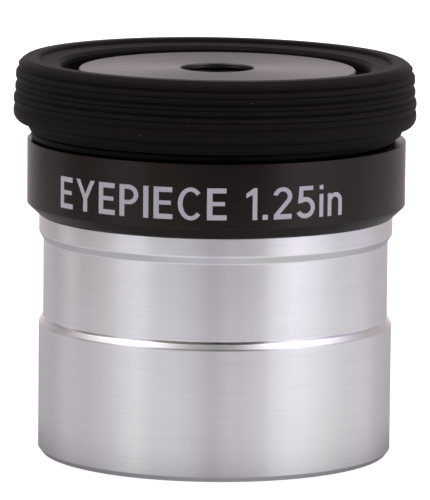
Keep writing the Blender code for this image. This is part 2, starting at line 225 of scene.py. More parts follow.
class Nodes:
    """Short hand for building the node tree of a material or a world."""

    def __init__(self, owner, output="OutputMaterial"):
        owner.use_nodes = True
        self.owner = owner
        self.tree = owner.node_tree
        self.tree.nodes.clear()
        self.out = self.new(output)

    def new(self, kind, inputs=None, **props):
        node = self.tree.nodes.new("ShaderNode" + kind)
        for key, value in props.items():
            setattr(node, key, value)
        for key, value in (inputs or {}).items():
            if is_socket(value):
                self.tree.links.new(value, node.inputs[key])
            else:
                node.inputs[key].default_value = value
        return node

    def math(self, operation, *values):
        return self.new("Math", dict(enumerate(values)), operation=operation).outputs[0]

    def plus(self, a, b):
        return self.math('ADD', a, b)

    def minus(self, a, b):
        return self.math('SUBTRACT', a, b)

    def times(self, a, by):
        return self.math('MULTIPLY', a, by)

    def affine(self, value, gain, add):
        """value * gain + add"""
        return self.math('MULTIPLY_ADD', value, gain, add)

    def smooth(self, value, low, high):
        """0 below low, 1 above high, smooth between."""
        return self.new("MapRange", {"Value": value, "From Min": low, "From Max": high},
                        interpolation_type='SMOOTHSTEP').outputs["Result"]

    def ramp(self, fac, stops, mode='LINEAR'):
        """Colour ramp through stops of (position, grey level or RGB)."""
        node = self.new("ValToRGB", {"Fac": fac})
        node.color_ramp.interpolation = mode
        elements = node.color_ramp.elements
        while len(elements) < len(stops):
            elements.new(0.5)
        for element, (position, colour) in zip(elements, stops):
            element.position = position
            element.color = rgba((colour,) * 3 if isinstance(colour, float) else colour)
        return node.outputs["Color"]

    def mix(self, fac, a, b):
        return self.new("Mix", {0: fac, 6: rgba(a), 7: rgba(b)}, data_type='RGBA').outputs[2]

    @cached_property
    def position(self):
        """Object coordinates in millimetres."""
        return self.new("VectorMath", {0: self.new("TexCoord").outputs["Object"],
                                       1: (1000.0, 1000.0, 1000.0)},
                        operation='MULTIPLY').outputs[0]

    @cached_property
    def axes(self):
        """x, y and z of the position."""
        return self.new("SeparateXYZ", {0: self.position}).outputs

    @cached_property
    def radius(self):
        """Distance from the axis in millimetres."""
        x, y, _ = self.axes
        return self.math('SQRT', self.plus(self.times(x, by=x), self.times(y, by=y)))

    def along(self):
        """Runs on through walls and end faces alike, for turning marks."""
        return self.plus(self.axes[2], self.times(self.radius, by=1.37))

    def line_noise(self, value, scale, seed, detail=2.0, wobble=0.0):
        """Noise that varies along one value: fine rings from turning."""
        vector = self.new("CombineXYZ", {0: value, 1: seed, 2: wobble}).outputs[0]
        return self.new("TexNoise", {"Vector": vector, "Scale": scale, "Detail": detail,
                                     "Roughness": 0.6}).outputs["Fac"]

    def noise(self, scale, detail=2.0, rough=0.55):
        return self.new("TexNoise", {"Vector": self.position, "Scale": scale, "Detail": detail,
                                     "Roughness": rough}).outputs["Fac"]

    def cells(self, scale, channel):
        """Distance to the nearest scattered point, and a random value for it."""
        node = self.new("TexVoronoi", {"Vector": self.position, "Scale": scale,
                                       "Randomness": 1.0}, feature='F1')
        split = self.new("SeparateColor", {0: node.outputs["Color"]})
        return node.outputs["Distance"], split.outputs[channel]

    def specks(self, distance, size, pick, above):
        """1 within size of the points whose random value is above a limit."""
        return self.times(self.math('LESS_THAN', distance, size),
                          by=self.math('GREATER_THAN', pick, above))

    def facing(self, geometry):
        """Height of the surface normal: 1 facing up, -1 facing down."""
        return self.new("SeparateXYZ", {0: geometry.outputs["Normal"]}).outputs[2]

    def tangent(self):
        """Tangent round the axis, for brushed highlights."""
        return self.new("Tangent", direction_type='RADIAL', axis='Z').outputs[0]

    def bump(self, height, strength, distance, normal=None):
        inputs = {"Height": height, "Strength": strength, "Distance": distance}
        if normal is not None:
            inputs["Normal"] = normal
        return self.new("Bump", inputs).outputs["Normal"]

    def principled(self, inputs):
        return self.new("BsdfPrincipled", inputs).outputs[0]

    def mix_shader(self, fac, a, b):
        return self.new("MixShader", {0: fac, 1: a, 2: b}).outputs[0]

    def surface(self, shader):
        self.tree.links.new(shader, self.out.inputs["Surface"])
        return self.owner


def material_nodes(name):
    return Nodes(bpy.data.materials.new(name))


# ------------------------------------------------------------------- materials
def turned_aluminium():
    """Turned aluminium.  The rings of the cut spread light along the tube and
    keep it sharp round the tube; short streaks break up the highlights."""
    n = material_nodes("turned_aluminium")
    x, y, z = n.axes
    along = n.along()
    azimuth = n.math('ARCTAN2', x, y)
    fine = n.line_noise(along, scale=9.0, seed=0.0, detail=3.0)
    coarse = n.line_noise(along, scale=1.1, seed=7.0)
    streak = n.line_noise(along, scale=7.0, seed=3.0, wobble=n.times(azimuth, by=0.35))
    tone = n.affine(streak, gain=0.45, add=n.times(fine, by=0.35))
    tone = n.affine(coarse, gain=0.20, add=tone)
    colour = n.ramp(tone, ((0.36, (0.832, 0.822, 0.842)), (0.64, (0.918, 0.908, 0.923))))
    distance, pick = n.cells(scale=0.40, channel=1)
    speck = n.specks(distance, size=0.028, pick=pick, above=0.62)
    colour = n.mix(n.times(speck, by=0.55), colour, (0.28, 0.26, 0.25))
    # painted shade: faces that look down get a darker colour
    under = n.minus(1.0, n.smooth(n.facing(n.new("NewGeometry")), low=-0.52, high=-0.12))
    colour = n.mix(n.times(under, by=0.48), colour, (0.46, 0.45, 0.49))
    # the cut is cleaner in the lower corner of the undercut, where nothing rubs
    corner = n.times(n.smooth(z, low=12.08, high=12.20),
                     by=n.minus(1.0, n.smooth(z, low=12.44, high=12.58)))
    side = n.new("CombineXYZ", {0: n.times(azimuth, by=1.0), 1: n.times(along, by=9.0), 2: 0.0})
    wander = n.new("TexNoise", {"Vector": side.outputs[0], "Scale": 2.0,
                                "Detail": 2.0}).outputs["Fac"]
    normal = n.bump(wander, strength=0.06, distance=0.00012)
    normal = n.bump(fine, strength=0.15, distance=0.000010, normal=normal)
    shared = {"Base Color": colour, "Metallic": 1.0, "Anisotropic Rotation": 0.25,
              "Tangent": n.tangent(), "Normal": normal}
    cloudy = n.affine(n.noise(scale=0.10), gain=0.04, add=0.235)
    sharp = n.principled({**shared, "Anisotropic": 0.9,
                          "Roughness": n.affine(corner, gain=-0.08, add=cloudy)})
    broad = n.principled({**shared, "Anisotropic": 0.8,
                          "Roughness": n.affine(fine, gain=0.10, add=0.44)})
    rubbed = n.affine(corner, gain=-0.25, add=0.28)
    return n.surface(n.mix_shader(rubbed, sharp, broad))


def bore_black():
    """Dull black inside the barrel."""
    n = material_nodes("bore_black")
    grain = n.noise(scale=6.0, detail=3.0)
    ringed = n.line_noise(n.axes[2], scale=6.0, seed=3.0)
    colour = n.ramp(n.times(grain, by=ringed),
                    ((0.1, (0.008, 0.008, 0.009)), (0.5, (0.022, 0.021, 0.022))))
    return n.surface(n.principled({
        "Base Color": colour, "Roughness": 0.72,
        "Normal": n.bump(grain, strength=0.3, distance=0.00003)}))


def black_anodised():
    """Black anodised turned aluminium: satin, with faint turning rings."""
    n = material_nodes("black_anodised")
    fine = n.line_noise(n.along(), scale=12.0, seed=1.0, detail=3.0)
    colour = n.ramp(n.noise(scale=0.25, detail=3.0),
                    ((0.3, (0.0026, 0.0013, 0.0008)), (0.7, (0.0036, 0.0020, 0.0016))))
    # painted shade: weaker, redder reflection on faces that look down, and weaker reflection on
    # those that look straight up
    facing = n.facing(n.new("NewGeometry"))
    lit = n.smooth(facing, low=-0.66, high=-0.30)
    gloss = n.minus(n.affine(lit, gain=0.31, add=0.12),
                    n.times(n.smooth(facing, low=0.80, high=0.97), by=0.22))
    return n.surface(n.principled({
        "Base Color": colour, "Metallic": 0.0,
        "Roughness": n.affine(fine, gain=0.12, add=0.21),
        "Specular IOR Level": gloss, "IOR": 1.5,
        "Specular Tint": n.mix(lit, (1.0, 0.60, 0.56), (1.0, 0.85, 0.77)),
        "Normal": n.bump(fine, strength=0.35, distance=0.00001)}))


def eye_plate_black():
    """Face-turned black plate: concentric rings give a fan-shaped sheen."""
    n = material_nodes("eye_plate_black")
    along = n.plus(n.radius, n.times(n.axes[2], by=0.9))
    fine = n.line_noise(along, scale=11.0, seed=2.0, detail=3.0)
    coarse = n.line_noise(along, scale=1.5, seed=5.0)
    tone = n.affine(fine, gain=0.5, add=n.times(coarse, by=0.5))
    colour = n.ramp(tone, ((0.3, (0.090, 0.080, 0.082)), (0.7, (0.117, 0.104, 0.106))))
    return n.surface(n.principled({
        "Base Color": colour, "Metallic": 1.0,
        "Roughness": n.affine(fine, gain=0.08, add=0.36),
        "Anisotropic": 0.6, "Anisotropic Rotation": 0.25, "Tangent": n.tangent(),
        "Normal": n.bump(fine, strength=0.2, distance=0.00001)}))


def eyecup_rubber():
    """Matt moulded rubber, a little rubbed on its raised edges, with painted shade
    where it faces down, and a few grains of dust."""
    n = material_nodes("eyecup_rubber")
    grain = n.noise(scale=9.0, detail=3.0, rough=0.6)
    patch = n.noise(scale=0.35, detail=3.0, rough=0.6)
    base = n.ramp(n.affine(grain, gain=0.4, add=n.times(patch, by=0.6)),
                  ((0.35, (0.0034, 0.0022, 0.0021)), (0.65, (0.0060, 0.0042, 0.0042))))
    geometry = n.new("NewGeometry")
    edge = n.ramp(geometry.outputs["Pointiness"], ((0.50, 0.0), (0.60, 1.0)))
    base = n.mix(n.times(edge, by=0.22), base, (0.026, 0.022, 0.021))
    distance, pick = n.cells(scale=0.95, channel=0)
    dust = n.specks(distance, size=n.affine(pick, gain=0.055, add=0.015), pick=pick, above=0.56)
    base = n.mix(n.times(dust, by=0.60), base, (0.20, 0.19, 0.18))
    # painted shade: faces that look down get a darker colour and weaker reflection
    lit = n.smooth(n.facing(geometry), low=-0.85, high=-0.10)
    return n.surface(n.principled({
        "Base Color": n.mix(lit, (0.0012, 0.0008, 0.0006), base), "Roughness": 0.74,
        "Specular IOR Level": n.affine(lit, gain=0.11, add=0.07),
        "Specular Tint": (1.0, 0.86, 0.82, 1.0),
        "Sheen Weight": 0.115, "Sheen Roughness": 0.26, "Sheen Tint": (1.0, 0.90, 0.88, 1.0),
        "Normal": n.bump(grain, strength=0.35, distance=0.00003)}))


def shaded_rubber(name, dark, light, rough):
    """The same rubber, darker and clean: painted shade for rubber parts that sit in shade."""
    n = material_nodes(name)
    grain = n.noise(scale=9.0, detail=3.0, rough=0.6)
    ringed = n.line_noise(n.axes[2], scale=4.0, seed=9.0)
    colour = n.ramp(n.affine(grain, gain=0.5, add=n.times(ringed, by=0.5)),
                    ((0.35, dark), (0.65, light)))
    return n.surface(n.principled({
        "Base Color": colour, "Roughness": rough, "Specular IOR Level": 0.10,
        "Normal": n.bump(grain, strength=0.35, distance=0.00003)}))


def marking_paint():
    n = material_nodes("marking_paint")
    grain = n.noise(scale=7.0, detail=3.0)
    colour = n.ramp(grain, ((0.3, (0.52, 0.51, 0.57)), (0.7, (0.62, 0.61, 0.67))))
    return n.surface(n.principled({
        "Base Color": colour, "Roughness": 0.6,
        "Normal": n.bump(grain, strength=0.2, distance=0.00001)}))


def cell_black():
    """Turned black metal of the lens cell and its rings."""
    n = material_nodes("cell_black")
    fine = n.line_noise(n.plus(n.axes[2], n.radius), scale=8.0, seed=4.0)
    colour = n.ramp(fine, ((0.3, (0.010, 0.010, 0.011)), (0.7, (0.020, 0.020, 0.022))))
    return n.surface(n.principled({
        "Base Color": colour, "Metallic": 0.2,
        "Roughness": n.affine(fine, gain=0.1, add=0.5),
        "Normal": n.bump(fine, strength=0.3, distance=0.00002)}))


def spacer_brass():
    """Turned brass with patches of tarnish."""
    n = material_nodes("spacer_brass")
    fine = n.line_noise(n.plus(n.axes[2], n.radius), scale=8.0, seed=6.0)
    tarnish = n.ramp(n.noise(scale=0.8, detail=3.0), ((0.4, 0.0), (0.7, 1.0)))
    return n.surface(n.principled({
        "Base Color": n.mix(tarnish, (0.62, 0.44, 0.19), (0.42, 0.28, 0.12)), "Metallic": 1.0,
        "Roughness": n.affine(fine, gain=0.15, add=0.28),
        "Normal": n.bump(fine, strength=0.3, distance=0.00002)}))


def lens_glass(name, tint, ior):
    """Polished glass with a thin, slightly streaky coating."""
    n = material_nodes(name)
    film = n.affine(n.noise(scale=0.9, detail=3.0), gain=12.0, add=112.0)    # nanometres
    return n.surface(n.principled({
        "Base Color": rgba(tint), "Roughness": n.times(n.noise(scale=4.0), by=0.03),
        "IOR": ior, "Transmission Weight": 1.0,
        "Thin Film Thickness": film, "Thin Film IOR": 1.38}))


def ground_glass():
    """Lens edge: ground and blackened."""
    n = material_nodes("ground_glass_edge")
    grain = n.noise(scale=12.0, detail=3.0)
    colour = n.ramp(grain, ((0.3, (0.015, 0.015, 0.016)), (0.7, (0.035, 0.035, 0.036))))
    return n.surface(n.principled({
        "Base Color": colour, "Roughness": 0.8,
        "Normal": n.bump(grain, strength=0.4, distance=0.00003)}))


ALUMINIUM = turned_aluminium()
BORE = bore_black()
ANODISED = black_anodised()
PLATE = eye_plate_black()
RUBBER = eyecup_rubber()
# painted shade: darker copies of the eyecup rubber, for the sleeve and, darker still, for the
# flange in the gap under the skirt
RUBBER_SHADED = shaded_rubber("eyecup_rubber_shaded", dark=(0.0016, 0.0010, 0.0006),
                            light=(0.0034, 0.0022, 0.0014), rough=0.8)
RUBBER_DEEP_SHADE = shaded_rubber("eyecup_rubber_deep_shade", dark=(0.0005, 0.0003, 0.0002),
                             light=(0.0010, 0.0007, 0.0005), rough=0.50)
PAINT = marking_paint()
CELL = cell_black()
BRASS = spacer_brass()
CROWN = lens_glass("crown_glass", tint=(0.985, 0.995, 0.99), ior=1.517)
FLINT = lens_glass("flint_glass", tint=(0.99, 0.99, 0.975), ior=1.648)
GROUND = ground_glass()

# Every outline below is a table of (radius, z, fillet).

# ---------------------------------------------------------------------- barrel
BARREL_R, _, BARREL_TOP = size_of("barrel")
UNDERCUT_R = BARREL_R - 0.40
BORE_R = 13.93
SOCKET_R = 14.38             # threaded bore at the top that takes the housing
SOCKET_FLOOR = 17.30
FILTER_PITCH, FILTER_DEPTH = 0.60, 0.32      # thread at the foot of the bore
BODY_PITCH, SOCKET_DEPTH = 0.75, 0.14        # thread between barrel and housing
BLACK_LOW, BLACK_HIGH = 4.95, 17.4           # blackened part of the bore

barrel_outline = rounded([
    (14.35, 0.00, 0.04),
    (BARREL_R - 0.35, 0.00, 0.05),
    (BARREL_R, 0.45, 0.06),
    (BARREL_R, 11.75, 0.30),
    (UNDERCUT_R, 12.30, 0.42),
    (UNDERCUT_R, 19.30, 0.22),
    (BARREL_R, 19.95, 0.30),
    (BARREL_R, BARREL_TOP - 0.10, 0.04),
    (BARREL_R - 0.10, BARREL_TOP, 0.04),
    (SOCKET_R + 0.25, BARREL_TOP, 0.04),
    (SOCKET_R, BARREL_TOP - 0.25, 0.03),
    (SOCKET_R, SOCKET_FLOOR, 0.03),
    (BORE_R, SOCKET_FLOOR, 0.05),
    (BORE_R, 0.42, 0.03),
])
barrel_outline = with_rows(barrel_outline, SOCKET_R, 17.75, BARREL_TOP - 0.40, BODY_PITCH)
barrel_outline = with_rows(barrel_outline, BORE_R, 0.75, 4.90, FILTER_PITCH)


def barrel_threads(r, z, turn):
    """Radius of the bore and socket walls with their threads cut."""
    if abs(r - BORE_R) < 1e-6:
        share = window(z, low=1.25, high=4.20, soft=0.60)
        return r + share * FILTER_DEPTH * thread_wave(z / FILTER_PITCH - turn)
    if abs(r - SOCKET_R) < 1e-6:
        share = window(z, low=18.25, high=BARREL_TOP - 0.90, soft=0.45)
        return r - share * SOCKET_DEPTH * (1.0 - thread_wave(z / BODY_PITCH - turn))
    return r


def barrel_slot(r, z):
    return 1 if r < SOCKET_R + 0.02 and BLACK_LOW < z < BLACK_HIGH else 0


place(ring_mesh("barrel_tube", barrel_outline, [ALUMINIUM, BORE], cut=barrel_threads,
                sharp=38.0, slot_of=barrel_slot),
      "barrel", "barrel")

# --------------------------------------------------------------------- housing
HOUSING_R, SPIGOT_END, NECK_TOP = size_of("housing")
SPIGOT_R = 14.22             # threaded end that screws into the barrel's socket
SPIGOT_DEPTH = 0.34
RELIEF_R = SPIGOT_R - 0.20   # plain groove above the thread
HOLLOW_R, HOLLOW_TOP = 12.90, 24.60
SEAT = BARREL_TOP + 0.05     # face that stands just clear of the barrel
HOUSING_TOP = 28.30
GROOVE_R, NECK_LOW = 11.50, 29.20
NECK_R = 12.20
RECESS_R, RECESS_FLOOR = 10.10, 31.20
CELL_BORE_R = 7.15

housing_outline = rounded([
    (HOLLOW_R, SPIGOT_END, 0.05),
    (SPIGOT_R - 0.25, SPIGOT_END, 0.04),
    (SPIGOT_R, SPIGOT_END + 0.25, 0.03),
    (SPIGOT_R, SEAT - 0.30, 0.02),
    (RELIEF_R, SEAT - 0.22, 0.02),
    (RELIEF_R, SEAT, 0.02),
    (HOUSING_R - 0.90, SEAT, 0.05),
    (HOUSING_R, SEAT + 0.85, 0.07),
    (HOUSING_R, HOUSING_TOP, 0.06),
    (GROOVE_R, HOUSING_TOP, 0.02),
    (GROOVE_R, NECK_LOW, 0.02),
    (NECK_R, NECK_LOW, 0.05),
    (NECK_R, NECK_TOP, 0.05),
    (RECESS_R, NECK_TOP, 0.03),
    (RECESS_R, RECESS_FLOOR, 0.02),
    (CELL_BORE_R, RECESS_FLOOR, 0.03),
    (CELL_BORE_R, HOLLOW_TOP, 0.05),
    (HOLLOW_R, HOLLOW_TOP, 0.10),
])
housing_outline = with_rows(housing_outline, SPIGOT_R, SPIGOT_END + 0.32, SEAT - 0.36,
                            BODY_PITCH)


def spigot_thread(r, z, turn):
    """Radius of the spigot wall with its thread cut."""
    if abs(r - SPIGOT_R) < 1e-6:
        share = window(z, low=SPIGOT_END + 0.75, high=SEAT - 0.75, soft=0.40)
        return r - share * SPIGOT_DEPTH * thread_wave(z / BODY_PITCH - turn)
    return r


place(ring_mesh("body_shell", housing_outline, [ANODISED], cut=spigot_thread, sharp=38.0),
      "housing", "housing")

# --------------------------------------------------------------------- marking
MARK_TEXT = "EYEPIECE 1.25in"
MARK_HEIGHT, MARK_WIDTH = 2.80, 27.8
MARK_BASELINE = 23.41
MARK_ANGLE = math.radians(-6.6)          # middle of the text, from -Y towards +X
MARK_RAISED, MARK_SUNK = 0.018, 0.020    # how far it stands out of and into the wall
MARK_CUT = 0.25                          # width of a strip that follows the wall
WORD_SPACE, LETTER_SPACE = 0.40, 0.155   # for letters one unit tall


def arc(cx, cz, rx, rz, start, end, steps=18):
    """Points of an ellipse arc between two angles in degrees."""
    return [(cx + rx * math.cos(math.radians(start + (end - start) * i / steps)),
             cz + rz * math.sin(math.radians(start + (end - start) * i / steps)))
            for i in range(steps + 1)]


def box_glyph(x0, z0, x1, z1):
    return [(x0, z0), (x1, z0), (x1, z1), (x0, z1)]


STROKE = 0.158    # stroke of a capital one unit tall
STEM = 0.13       # stroke of a small letter
GLYPHS = {        # width, then closed loops; a loop inside another is a hole
    "E": (0.56, [[(0, 0), (0.56, 0), (0.56, STROKE), (STROKE, STROKE), (STROKE, 0.445),
                  (0.51, 0.445), (0.51, 0.575), (STROKE, 0.575), (STROKE, 1 - STROKE),
                  (0.55, 1 - STROKE), (0.55, 1), (0, 1)]]),
    "Y": (0.72, [[(0.36 - STROKE / 2, 0), (0.36 + STROKE / 2, 0), (0.36 + STROKE / 2, 0.41),
                  (0.72, 1), (0.565, 1), (0.36, 0.555), (0.155, 1), (0, 1),
                  (0.36 - STROKE / 2, 0.41)]]),
    "P": (0.60, [[(0, 0), (STROKE, 0), (STROKE, 0.385)]
                 + arc(0.295, 0.6925, 0.305, 0.3075, -90, 90) + [(0, 1)],
                 [(STROKE, 0.515)] + arc(0.285, 0.690, 0.175, 0.175, -90, 90)
                 + [(STROKE, 0.865)]]),
    "I": (STROKE, [box_glyph(0, 0, STROKE, 1)]),
    "C": (0.68, [arc(0.37, 0.5, 0.37, 0.515, 42, 318, 40)
                 + arc(0.37, 0.5, 0.232, 0.385, 318, 42, 40)]),
    "1": (0.32, [[(0.185, 0), (0.32, 0), (0.32, 1), (0.215, 1), (0.0, 0.83), (0.0, 0.685),
                  (0.185, 0.80)]]),
    ".": (STROKE, [box_glyph(0, 0, STROKE, STROKE)]),
    "2": (0.56, [[(0.02, 0), (0.56, 0), (0.56, STROKE), (0.195, STROKE)]
                 + arc(0.285, 0.715, 0.285, 0.290, -38, 170, 24)
                 + arc(0.285, 0.715, 0.152, 0.160, 170, -38, 24) + [(0.02, 0.145)]]),
    "5": (0.585, [[(0.085, 1), (0.040, 0.470), (0.160, 0.478)]
                  + arc(0.275, 0.325, 0.175, 0.190, 122, -152, 28)
                  + arc(0.275, 0.325, 0.310, 0.335, -152, 103, 30)
                  + [(0.205, 0.87), (0.525, 0.87), (0.525, 1)]]),
    "i": (STEM, [box_glyph(0, 0, STEM, 0.72), box_glyph(0, 0.865, STEM, 1.0)]),
    "n": (0.515, [[(0, 0), (STEM, 0)] + arc(0.2575, 0.44, 0.1275, 0.165, 180, 0, 14)
                  + [(0.385, 0), (0.515, 0)] + arc(0.275, 0.47, 0.24, 0.265, 0, 118, 14)
                  + [(STEM, 0.65), (STEM, 0.72), (0, 0.72)]]),
}


def text_loops(text):
    """Outlines of a line of text one unit tall, and its width."""
    pen, loops = 0.0, []
    for letter in text:
        if letter == " ":
            pen += WORD_SPACE
            continue
        advance, shapes = GLYPHS[letter]
        for loop in shapes:
            loops.append([(pen + x, z) for x, z in loop])
        pen += advance + LETTER_SPACE
    return loops, pen - LETTER_SPACE


def filled_mesh(loops):
    """Flat plate one unit thick with the given outlines."""
    curve = bpy.data.curves.new("marking", 'CURVE')
    curve.dimensions = '2D'
    curve.fill_mode = 'BOTH'
    curve.extrude = 0.5
    for loop in loops:
        spline = curve.splines.new('POLY')
        spline.points.add(len(loop) - 1)
        for point, (x, z) in zip(spline.points, loop):
            point.co = (x, z, 0.0, 1.0)
        spline.use_cyclic_u = True
    temp = bpy.data.objects.new("marking_temp", curve)
    bpy.context.scene.collection.objects.link(temp)
    bpy.context.view_layer.update()
    graph = bpy.context.evaluated_depsgraph_get()
    mesh = bpy.data.meshes.new_from_object(temp.evaluated_get(graph))
    bpy.data.objects.remove(temp, do_unlink=True)
    return mesh


def marking():
    """Raised print wrapped round the housing wall, made of closed shells."""
    loops, text_width = text_loops(MARK_TEXT)
    bm = bmesh.new()
    bm.from_mesh(filled_mesh(loops))
    bmesh.ops.remove_doubles(bm, verts=bm.verts[:], dist=1e-5)
    scale = MARK_WIDTH / text_width
    for v in bm.verts:
        v.co.x = (v.co.x - text_width / 2) * scale
        v.co.y *= MARK_HEIGHT
    # cut into narrow strips so that the faces follow the wall
    x = -MARK_WIDTH / 2 + MARK_CUT
    while x < MARK_WIDTH / 2:
        bmesh.ops.bisect_plane(bm, geom=bm.verts[:] + bm.edges[:] + bm.faces[:], dist=1e-6,
                               plane_co=(x, 0, 0), plane_no=(1, 0, 0))
        x += MARK_CUT
    for v in bm.verts:
        angle = MARK_ANGLE + v.co.x / HOUSING_R
        r = HOUSING_R + (MARK_RAISED if v.co.z > 0 else -MARK_SUNK)
        v.co = Vector((r * math.sin(angle), -r * math.cos(angle),
                       MARK_BASELINE + v.co.y)) * MM
    return finish_mesh(bm, "body_marking", [PAINT], sharp=30.0)


place(marking(), "housing")

# ------------------------------------------------------------------- eye plate
PLATE_R, PLATE_LOW, PLATE_TOP = size_of("eye_cap")
HOLE_R = 3.27
LIP_LOW = PLATE_TOP - 0.32   # underside of the thin lip round the hole

plate_outline = rounded([
    (HOLE_R, LIP_LOW, 0.02),
    (HOLE_R, PLATE_TOP, 0.03),
    (HOLE_R + 0.10, PLATE_TOP + 0.10, 0.03),
    (PLATE_R - 0.12, PLATE_TOP, 0.03),
    (PLATE_R, PLATE_TOP - 0.12, 0.04),
    (PLATE_R, 33.45, 0.05),
    (10.00, 33.45, 0.02),
    (10.00, PLATE_LOW, 0.08),
    (9.20, PLATE_LOW, 0.05),
    (9.20, 33.35, 0.02),
    (5.20, 33.35, 0.03),
    (5.20, LIP_LOW, 0.02),
])
place(ring_mesh("eye_plate", plate_outline, [PLATE]), "housing", "eye_cap")

# --------------------------------------------------------------- eyecup flange
BASE_R, BASE_LOW, BASE_TOP = size_of("eyecup_base")
FLANGE_R = BASE_R + 0.22
FLANGE_BORE = 11.60
FLANGE_SHIFT = 0.28          # the outer edge sits this far towards -X

flange_outline = rounded([
    (FLANGE_BORE, BASE_LOW, 0.05),
    (FLANGE_R, BASE_LOW, 0.18),
    (FLANGE_R, BASE_TOP, 0.18),
    (FLANGE_BORE, BASE_TOP, 0.05),
])
# painted shade: the flange in the gap under the skirt wears the darkest copy of the rubber
flange = ring_mesh("eyecup_flange", flange_outline, [RUBBER_DEEP_SHADE])
for v in flange.data.vertices:
    if math.hypot(v.co.x, v.co.y) > 15.0 * MM:
        v.co.x -= FLANGE_SHIFT * MM
flange.data.update()
place(flange, "housing", "eyecup_base")

# --------------------------------------------------------------- eyecup sleeve
WALL_R, WALL_LOW, WALL_TOP = size_of("eyecup_wall")
WALL_BORE = 13.85
WALL_STEPS = 24
# soft rubber never sits quite true: it leans about LEAN_Z and sits to one side
LEAN = math.radians(0.41)    # towards +X
NOD = math.radians(0.20)     # towards +Y
LEAN_Z = 32.0
OFFSET_X = -0.16


def settled(obj, share):
    """Lean a finished ring; share(z) says how much of the lean applies at z."""
    for v in obj.data.vertices:
        x, y, z = v.co.x / MM, v.co.y / MM, v.co.z / MM
        part = share(z)
        lean, nod = LEAN * part, NOD * part
        up = (z - LEAN_Z) * math.cos(lean) - x * math.sin(lean)
        v.co = Vector((
            x * math.cos(lean) + (z - LEAN_Z) * math.sin(lean) + OFFSET_X * part,
            y * math.cos(nod) + up * math.sin(nod),
            LEAN_Z + up * math.cos(nod) - y * math.sin(nod))) * MM
    obj.data.update()
    return obj


def wall_share(z):
    """No lean at the foot of the sleeve, all of it at the top."""
    return min(1.0, max(0.0, (z - WALL_LOW) / (WALL_TOP - WALL_LOW)))


wall_outline = [(r, start + (end - start) * i / WALL_STEPS)
                for r, start, end in ((WALL_R, WALL_LOW, WALL_TOP),
                                      (WALL_BORE, WALL_TOP, WALL_LOW))
                for i in range(WALL_STEPS + 1)]
# painted shade: the sleeve under the skirt wears a darker copy of the rubber
wall = settled(ring_mesh("eyecup_sleeve", wall_outline, [RUBBER_SHADED]), wall_share)
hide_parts("eyecup_wall")
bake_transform(wall)

# ---------------------------------------------------------------- eyecup skirt
_, SKIRT_LOW, RIM = size_of("eyecup_skirt")
SKIRT_INNER_R = 16.35        # inside of the hanging skirt
SKIRT_ROOF = SKIRT_LOW + 5.15

# Ribs from the top down: (r, z) of the valleys between them and of the crests,
# and z of the fine mould line above each crest, if it has one.
VALLEYS = ((17.30, 35.25), (17.50, 34.56), (17.64, 33.37), (17.72, 32.38), (17.88, 31.25))
CRESTS = ((17.60, 34.94), (17.85, 33.88), (17.89, 32.80), (18.02, 31.80))
MOULD_LINES = (None, 34.03, 32.96, 31.89)
# Curve from a valley out to its crest: (share of the way out, drop in z)
RIB_RISE = ((0.20, 0.05), (0.50, 0.12), (0.74, 0.20), (0.88, 0.29), (0.94, 0.37))
RIB_FALL = (0.22, 0.42, 0.60, 0.76, 0.90)    # shares of the way down to the next valley
# Rounded lowest band, (r, z) from the last valley down
LOWEST_BAND = [VALLEYS[-1], (17.93, 31.18), (17.985, 31.05), (18.01, 30.88), (18.02, 30.60),
               (17.99, 30.40), (17.92, 30.22), (17.82, 30.07)]


def rib(valley, crest, below, mould_line):
    """Outline down one rib: quickly out under the valley above, round over the
    crest, gently back to the valley below."""
    (r0, z0), (rc, zc), (r1, z1) = valley, crest, below
    out = [valley]
    out += [(r0 + (rc - r0) * share, z0 - drop)
            for share, drop in RIB_RISE if drop < z0 - zc - 0.22]
    if mould_line:
        edge = rc - 0.012
        out += [(edge, mould_line + 0.075), (edge - 0.012, mould_line + 0.050),
                (edge - 0.085, mould_line), (edge - 0.008, mould_line - 0.048),
                (edge + 0.004, mould_line - 0.070)]
    out.append(crest)
    out += [(r1 + (rc - r1) * (1.0 - t ** 1.9), zc + (z1 - zc) * t) for t in RIB_FALL]
    return out


def skirt_share(z):
    """Just over half the lean at the foot of the skirt, all of it higher up."""
    return 1.0 if z > 34.0 else min(1.0, max(0.55, 0.55 + 0.45 * (z - 29.1) / 0.6))


skirt_side = []
for i, crest in enumerate(CRESTS):
    skirt_side += rib(VALLEYS[i], crest, VALLEYS[i + 1], MOULD_LINES[i])
skirt_side += LOWEST_BAND
skirt_outline = rounded([
    (WALL_BORE, SKIRT_ROOF, 0.10),
    (SKIRT_INNER_R, SKIRT_ROOF, 0.10),
    (SKIRT_INNER_R, SKIRT_LOW - 0.03, 0.06),
    (16.60, SKIRT_LOW - 0.07, 0.08),
    (16.76, SKIRT_LOW + 0.30, 0.10),
    (16.84, 29.71, 0.06),
    (17.36, 29.78, 0.16),
    (17.68, 29.92, 0.12),
    *skirt_side[::-1],
    (17.08, 35.40, 0.10),
    (16.90, RIM, 0.15),
    (15.98, RIM, 0.12),
    (15.78, RIM - 0.14, 0.08),
    (15.70, 35.13, 0.06),
    (14.25, 34.97, 0.20),
    (WALL_BORE, 34.66, 0.25),
])
place(settled(ring_mesh("eyecup_skirt_ribbed", skirt_outline, [RUBBER], sharp=50.0),
              skirt_share),
      "eyecup_skirt", "eyecup_skirt")

# ------------------------------------------------------------------- lens cell
COLLAR_R, CELL_LOW, CELL_TOP = size_of("lens_cell")
CELL_R = 7.00
CELL_BORE, EYE_BORE = 5.30, 4.35       # bore at the foot, and the one holding the lenses
COLLAR_LOW, COLLAR_TOP = 31.25, 32.15

